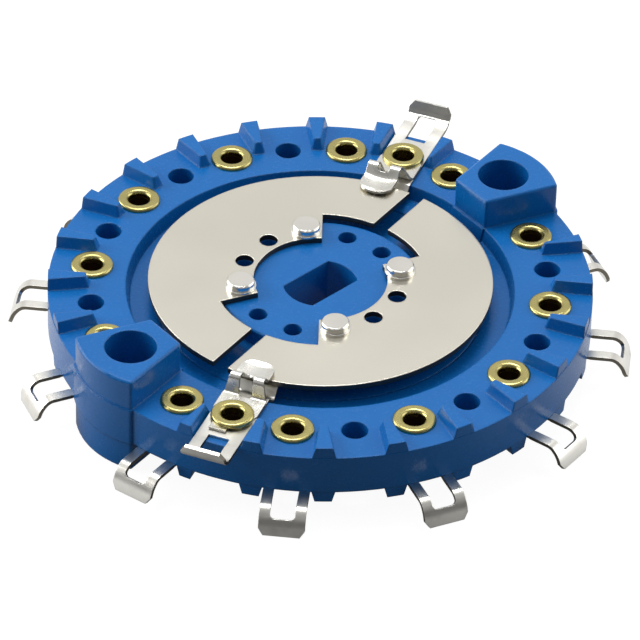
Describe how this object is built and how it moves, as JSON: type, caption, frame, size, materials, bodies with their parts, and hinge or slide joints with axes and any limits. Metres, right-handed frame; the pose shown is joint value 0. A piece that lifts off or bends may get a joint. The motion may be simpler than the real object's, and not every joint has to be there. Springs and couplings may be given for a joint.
{
  "type": "rotary switch section",
  "caption": "Loose contact section of a rotary switch: moulded ring with riveted double-leaf clips and a flatted-shaft rotor with contact plates.",
  "frame": {"origin": "on the rotor's turning axis, in the plane of the two bosses' lower faces", "axes": "+Z along the turning axis, up; +Y through station 0, the upper clip beside the far boss; stations count clockwise from +Y seen from above, 15 degrees apart"},
  "size_m": [0.053, 0.0532, 0.0094],
  "materials": {
    "ring_plastic": "satin moulded",
    "hub_plastic": "satin moulded",
    "silver_plate": "plated, smooth",
    "silvered_bronze": "plated, bright",
    "tinned_brass": "tinned, bright",
    "eyelet_brass": "rolled, polished",
    "rivet_metal": "plated, flat heads"
  },
  "bodies": {
    "stator": {"eyelet_00": "eyelet_brass", "eyelet_01": "eyelet_brass", "eyelet_03": "eyelet_brass", "eyelet_05": "eyelet_brass", "eyelet_07": "eyelet_brass", "eyelet_09": "eyelet_brass", "eyelet_11": "eyelet_brass", "eyelet_12": "eyelet_brass", "eyelet_13": "eyelet_brass", "eyelet_15": "eyelet_brass", "eyelet_17": "eyelet_brass", "eyelet_19": "eyelet_brass", "eyelet_21": "eyelet_brass", "eyelet_23": "eyelet_brass", "grip_leaf_00": "silvered_bronze", "grip_leaf_01": "silvered_bronze", "grip_leaf_03": "silvered_bronze", "grip_leaf_05": "silvered_bronze", "grip_leaf_07": "silvered_bronze", "grip_leaf_09": "silvered_bronze", "grip_leaf_11": "silvered_bronze", "grip_leaf_12": "silvered_bronze", "grip_leaf_13": "silvered_bronze", "grip_leaf_15": "silvered_bronze", "grip_leaf_17": "silvered_bronze", "grip_leaf_19": "silvered_bronze", "grip_leaf_21": "silvered_bronze", "grip_leaf_23": "silvered_bronze", "stator_ring": "ring_plastic", "terminal_leaf_00": "tinned_brass", "terminal_leaf_01": "tinned_brass", "terminal_leaf_03": "tinned_brass", "terminal_leaf_05": "tinned_brass", "terminal_leaf_07": "tinned_brass", "terminal_leaf_09": "tinned_brass", "terminal_leaf_11": "tinned_brass", "terminal_leaf_12": "tinned_brass", "terminal_leaf_13": "tinned_brass", "terminal_leaf_15": "tinned_brass", "terminal_leaf_17": "tinned_brass", "terminal_leaf_19": "tinned_brass", "terminal_leaf_21": "tinned_brass", "terminal_leaf_23": "tinned_brass"},
    "rotor": {"contact_plate_bottom_a": "silver_plate", "contact_plate_bottom_b": "silver_plate", "contact_plate_top_a": "silver_plate", "contact_plate_top_b": "silver_plate", "rotor_hub": "hub_plastic", "rotor_rivet_1": "rivet_metal", "rotor_rivet_2": "rivet_metal", "rotor_rivet_3": "rivet_metal", "rotor_rivet_4": "rivet_metal"}
  },
  "joints": [
    {"name": "rotor_turn", "type": "hinge", "parent": "stator", "child": "rotor", "pos_m": [0, 0, 0.0047], "axis": [0, 0, 1], "continuous": true}
  ]
}
